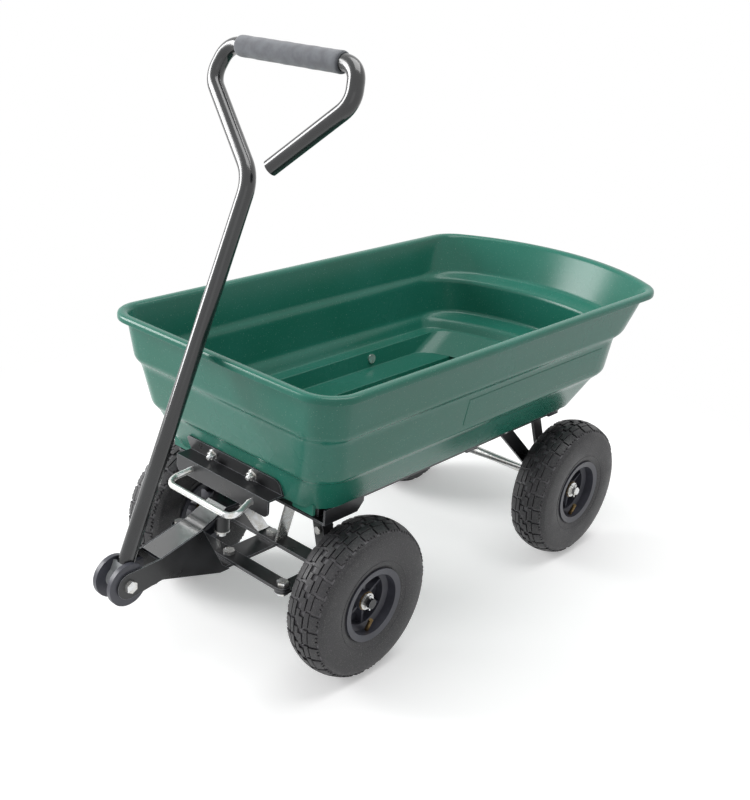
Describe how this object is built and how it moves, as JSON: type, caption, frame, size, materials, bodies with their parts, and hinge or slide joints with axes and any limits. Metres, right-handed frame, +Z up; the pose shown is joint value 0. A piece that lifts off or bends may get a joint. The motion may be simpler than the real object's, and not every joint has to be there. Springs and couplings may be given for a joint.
{
  "type": "garden dump cart",
  "caption": "Four-wheel garden cart with a moulded tray that tips rearward, a steel chassis, steered front wheels and a folding pull handle with a D loop.",
  "frame": {"origin": "on the ground below the middle of the cart's length and width", "axes": "+X forward to the pull handle, +Y to the cart's left, +Z up"},
  "size_m": [1.145, 0.508, 0.9382],
  "materials": {
    "tray_plastic": "moulded green polyethylene, satin outside, glossier inside",
    "frame_steel": "black powder coat, satin",
    "gloss_steel": "black enamel, gloss",
    "zinc_steel": "bright zinc plate",
    "black_plastic": "moulded black plastic",
    "grey_plastic": "moulded light grey plastic",
    "grip_foam": "closed-cell foam sleeve",
    "tyre_rubber": "dusty block tread",
    "brass_fitting": "plain bush and valve stem"
  },
  "bodies": {
    "chassis": {"side_rail_left": "frame_steel", "side_rail_right": "frame_steel", "front_crossmember": "frame_steel", "bridge_crossmember": "frame_steel", "middle_crossmember": "frame_steel", "rear_crossmember": "frame_steel", "corner_gussets": "frame_steel", "front_leg_left": "frame_steel", "front_leg_right": "frame_steel", "front_axle_beam": "frame_steel", "king_braces": "frame_steel", "rear_leg_left": "frame_steel", "rear_leg_right": "frame_steel", "rear_struts": "frame_steel", "rear_axle": "zinc_steel", "rear_axle_fittings": "zinc_steel", "axle_brace_rods": "zinc_steel", "kingpins": "zinc_steel", "king_bolts": "zinc_steel", "frame_bolts": "zinc_steel", "hinge_pins": "zinc_steel", "latch_keeper": "frame_steel"},
    "tray": {"tray": "tray_plastic", "tray_hinges": "frame_steel", "tray_bolts": "zinc_steel", "latch_bracket": "frame_steel", "bracket_bolts": "zinc_steel", "latch_springs": "zinc_steel"},
    "bail": {"release_bail": "zinc_steel", "latch_hooks": "frame_steel"},
    "tongue": {"tongue_strap": "frame_steel", "tongue_foot_plate": "frame_steel", "tongue_plate_left": "frame_steel", "tongue_plate_right": "frame_steel", "nose_cheek_left": "black_plastic", "nose_cheek_right": "black_plastic", "handle_pivot_bolt": "zinc_steel", "handle_stop": "zinc_steel"},
    "tie_bar": {"tie_bar": "frame_steel", "tie_bar_bolts": "zinc_steel"},
    "knuckle_left": {"knuckle_left": "frame_steel", "stub_fittings_left": "zinc_steel"},
    "knuckle_right": {"knuckle_right": "frame_steel", "stub_fittings_right": "zinc_steel"},
    "handle": {"handle_tube": "gloss_steel", "handle_grip": "grip_foam", "handle_foot": "grey_plastic"},
    "wheel_front_left": {"front_left_tyre": "tyre_rubber", "front_left_rim": "black_plastic", "front_left_fittings": "brass_fitting"},
    "wheel_front_right": {"front_right_tyre": "tyre_rubber", "front_right_rim": "black_plastic", "front_right_fittings": "brass_fitting"},
    "wheel_rear_left": {"rear_left_tyre": "tyre_rubber", "rear_left_rim": "black_plastic", "rear_left_fittings": "brass_fitting"},
    "wheel_rear_right": {"rear_right_tyre": "tyre_rubber", "rear_right_rim": "black_plastic", "rear_right_fittings": "brass_fitting"}
  },
  "joints": [
    {"name": "tray_tip", "type": "hinge", "parent": "chassis", "child": "tray", "pos_m": [-0.3545, 0, 0.281], "axis": [0, -1, 0], "range_deg": [0, 50]},
    {"name": "latch_pull", "type": "slide", "parent": "tray", "child": "bail", "axis": [1, 0, 0], "range_m": [0, 0.012], "stiffness_N_per_m": 400},
    {"name": "steering", "type": "hinge", "parent": "chassis", "child": "tongue", "pos_m": [0.2355, 0, 0.2], "axis": [0, 0, 1], "range_deg": [-15, 15]},
    {"name": "kingpin_left", "type": "hinge", "parent": "chassis", "child": "knuckle_left", "pos_m": [0.2355, 0.124, 0.13], "axis": [0, 0, 1], "range_deg": [-15, 15]},
    {"name": "kingpin_right", "type": "hinge", "parent": "chassis", "child": "knuckle_right", "pos_m": [0.2355, -0.124, 0.13], "axis": [0, 0, 1], "range_deg": [-15, 15]},
    {"name": "tie_bar_pin", "type": "hinge", "parent": "knuckle_left", "child": "tie_bar", "pos_m": [0.3285, 0.124, 0.15], "axis": [0, 0, 1], "range_deg": [-15, 15]},
    {"name": "handle_fold", "type": "hinge", "parent": "tongue", "child": "handle", "pos_m": [0.5395, 0, 0.19], "axis": [0, 1, 0], "range_deg": [0, 112]},
    {"name": "front_left_spin", "type": "hinge", "parent": "knuckle_left", "child": "wheel_front_left", "pos_m": [0.2355, 0.196, 0.13], "axis": [0, 1, 0], "continuous": true},
    {"name": "front_right_spin", "type": "hinge", "parent": "knuckle_right", "child": "wheel_front_right", "pos_m": [0.2355, -0.196, 0.13], "axis": [0, 1, 0], "continuous": true},
    {"name": "rear_left_spin", "type": "hinge", "parent": "chassis", "child": "wheel_rear_left", "pos_m": [-0.3445, 0.192, 0.13], "axis": [0, 1, 0], "continuous": true},
    {"name": "rear_right_spin", "type": "hinge", "parent": "chassis", "child": "wheel_rear_right", "pos_m": [-0.3445, -0.192, 0.13], "axis": [0, 1, 0], "continuous": true}
  ],
  "couplings": [
    {"joint": "kingpin_left", "follows": "steering", "ratio": 1},
    {"joint": "kingpin_right", "follows": "steering", "ratio": 1},
    {"joint": "tie_bar_pin", "follows": "steering", "ratio": -1}
  ]
}
